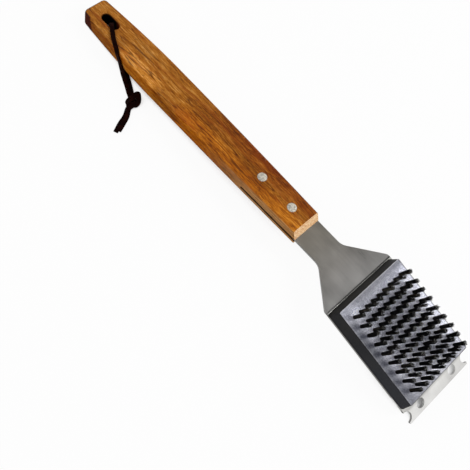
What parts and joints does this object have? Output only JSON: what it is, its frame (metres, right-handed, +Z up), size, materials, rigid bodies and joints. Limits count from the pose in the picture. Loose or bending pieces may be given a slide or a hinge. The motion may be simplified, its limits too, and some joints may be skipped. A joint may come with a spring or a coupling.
{
  "type": "grill brush",
  "caption": "Long-handled grill brush: wooden handle riveted to a folded steel sheet with a block of wire tufts and a notched scraper, and a leather hanging lace.",
  "frame": {"origin": "on the table, under the middle of the brush without its lace", "axes": "+X from the butt to the scraper, +Z up, the way the wires point, +Y to the left of someone who looks along +X"},
  "size_m": [0.4632, 0.1043, 0.0536],
  "materials": {
    "wood": "oiled hardwood, satin",
    "rivets": "smooth, slightly domed",
    "sheet": "fine satin",
    "block": "fine moulded grain",
    "wires": "dark wire with cut ends",
    "screws": "zinc plated",
    "lace": "dark, slightly waxed"
  },
  "bodies": {
    "root": {"handle": "wood", "handle_rivet_front": "rivets", "handle_rivet_rear": "rivets", "steel_sheet": "sheet", "bristle_block": "block", "bristle_row_1": "wires", "bristle_row_2": "wires", "bristle_row_3": "wires", "bristle_row_4": "wires", "bristle_row_5": "wires", "bristle_row_6": "wires", "bristle_row_7": "wires", "bristle_row_8": "wires", "bristle_row_9": "wires", "block_screw_1": "screws", "block_screw_2": "screws", "block_screw_3": "screws", "block_screw_4": "screws", "lace_loop": "lace", "lace_knot": "lace", "lace_tails": "lace"}
  },
  "joints": []
}
